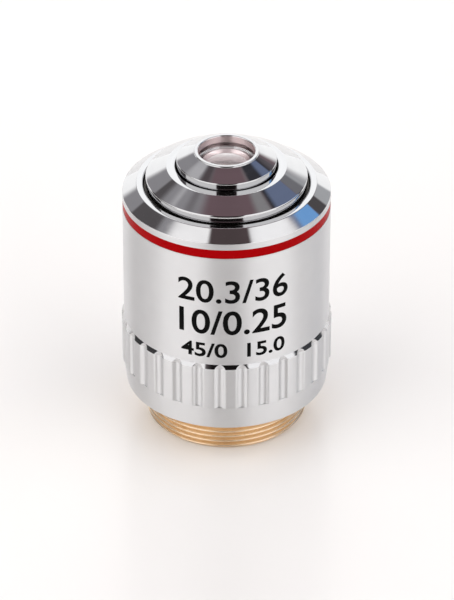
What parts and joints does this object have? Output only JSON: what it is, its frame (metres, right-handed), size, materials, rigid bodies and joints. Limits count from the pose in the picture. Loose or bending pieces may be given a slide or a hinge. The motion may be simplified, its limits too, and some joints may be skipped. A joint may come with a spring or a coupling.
{
  "type": "microscope objective",
  "caption": "Low-power microscope objective: threaded brass mount, fluted grip ring, satin chrome sleeve with a red band, stepped polished nose and the lens train inside.",
  "frame": {"origin": "centre of the thread's end face, which the objective stands on", "axes": "+Z along the optical axis towards the specimen; -Y is the side with the engraved figures"},
  "size_m": [0.0266, 0.0266, 0.0379],
  "materials": {
    "brass": "turned, lightly lacquered",
    "satin_chrome": "satin, bead blasted before plating",
    "polished_chrome": "polished",
    "red_enamel": "gloss enamel in a turned groove",
    "blackened_brass": "blackened, matt",
    "matt_black": "black anodised, matt",
    "screw_steel": "turned",
    "optical_glass": "polished",
    "coated_glass": "polished, anti-reflection coating with a pink to purple tint"
  },
  "bodies": {
    "root": {"threaded_mount": "brass", "rear_baffle": "matt_black", "grip_ring": "satin_chrome", "outer_sleeve": "satin_chrome", "colour_band": "red_enamel", "body_tube": "blackened_brass", "centring_screws": "screw_steel", "parfocal_shim": "brass", "lens_barrel": "blackened_brass", "barrel_cap": "polished_chrome", "front_cell": "polished_chrome", "front_lens": "coated_glass", "front_spacer": "matt_black", "front_meniscus": "coated_glass", "front_lens_ring": "matt_black", "upper_crown": "optical_glass", "upper_flint": "optical_glass", "upper_spacer": "matt_black", "aperture_stop": "matt_black", "lower_spacer": "matt_black", "lower_flint": "optical_glass", "lower_crown": "coated_glass", "rear_lens_ring": "matt_black"}
  },
  "joints": []
}
